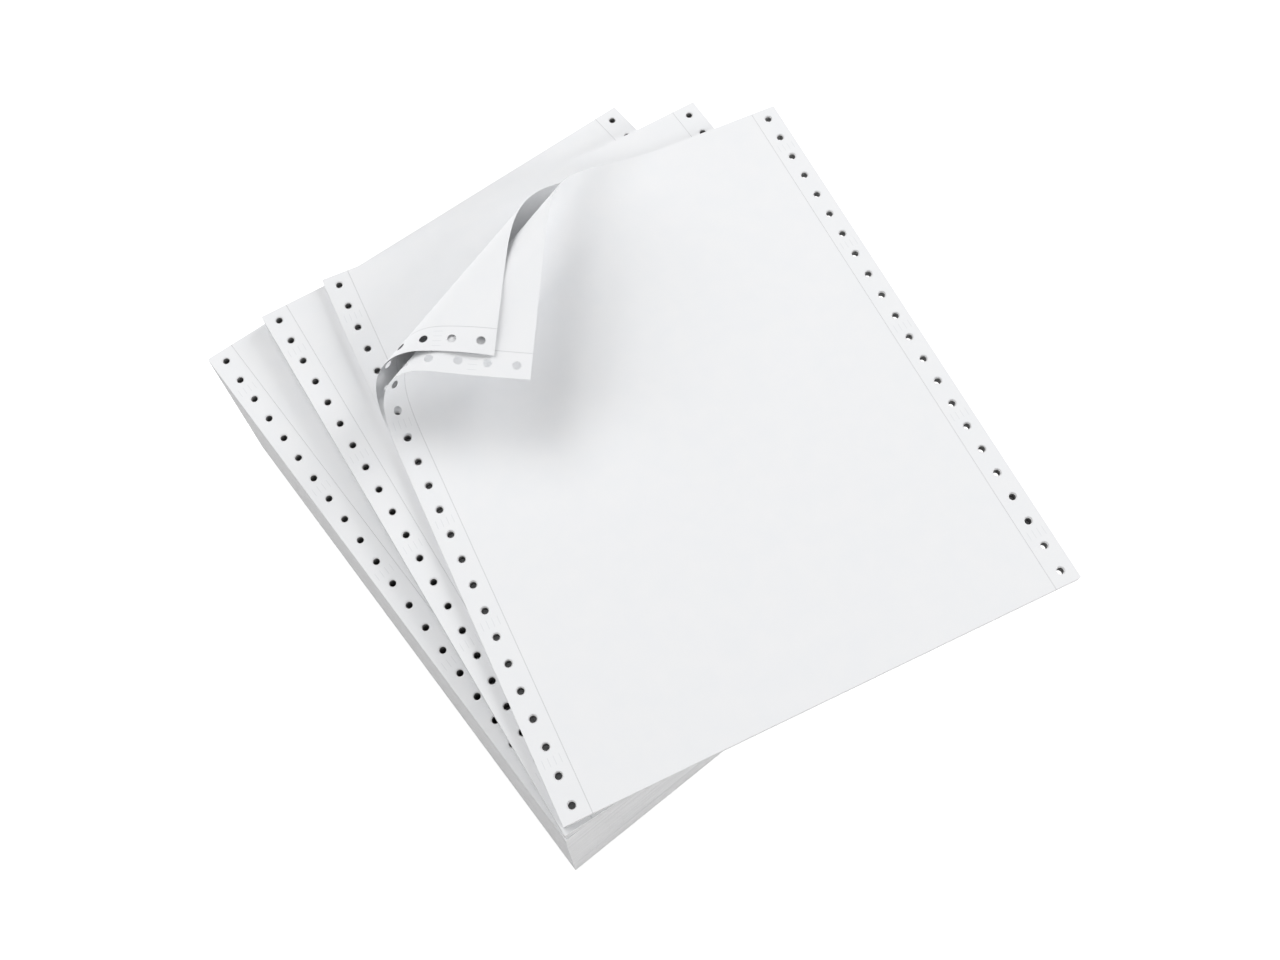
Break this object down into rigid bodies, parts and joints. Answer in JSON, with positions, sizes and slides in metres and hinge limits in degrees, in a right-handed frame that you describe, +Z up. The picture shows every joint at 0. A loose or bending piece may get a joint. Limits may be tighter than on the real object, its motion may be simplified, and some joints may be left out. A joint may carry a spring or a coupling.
{
  "type": "fanfold continuous form paper",
  "caption": "Stack of fanfold continuous form paper with sprocket holes down both edges, in fanned packs, with the top form's plies rolled back at one corner",
  "frame": {"origin": "middle of the bottom pack's underside, on the surface that the paper lies on", "axes": "+X across the bottom pack's forms, +Y along its feed direction away from the near fold, +Z up"},
  "size_m": [0.2992, 0.3296, 0.1392],
  "materials": {
    "paper": "uncoated white bond, matte"
  },
  "bodies": {
    "root": {"bottom_pack": "paper", "middle_pack": "paper", "top_pack": "paper"}
  },
  "joints": []
}
